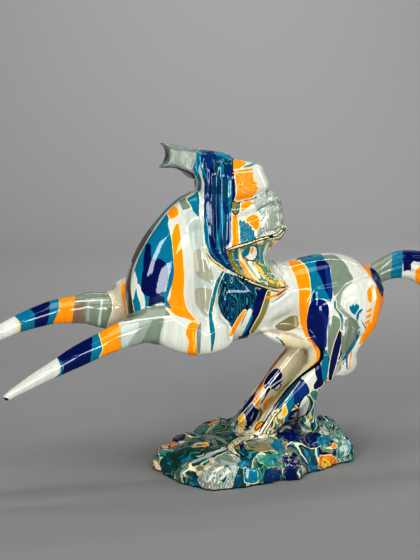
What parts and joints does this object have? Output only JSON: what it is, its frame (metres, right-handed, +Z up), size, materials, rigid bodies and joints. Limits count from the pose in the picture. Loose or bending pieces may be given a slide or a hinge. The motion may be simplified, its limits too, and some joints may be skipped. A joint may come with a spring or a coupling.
{
  "type": "abstract horse sculpture",
  "caption": "Glossy cast figure of an abstract horse leaping forward from its hind legs on a low rock mound, under a coat of poured marbled paint.",
  "frame": {"origin": "middle of the rock's flat underside", "axes": "-X the way the horse looks, -Y its near (left) side, +Z up"},
  "size_m": [0.615, 0.1894, 0.3941],
  "materials": {
    "marbled_paint": "high-gloss poured enamel in teal, navy, orange, white and sage grey, marbled where the colours met"
  },
  "bodies": {
    "root": {"horse_on_rock": "marbled_paint"}
  },
  "joints": []
}
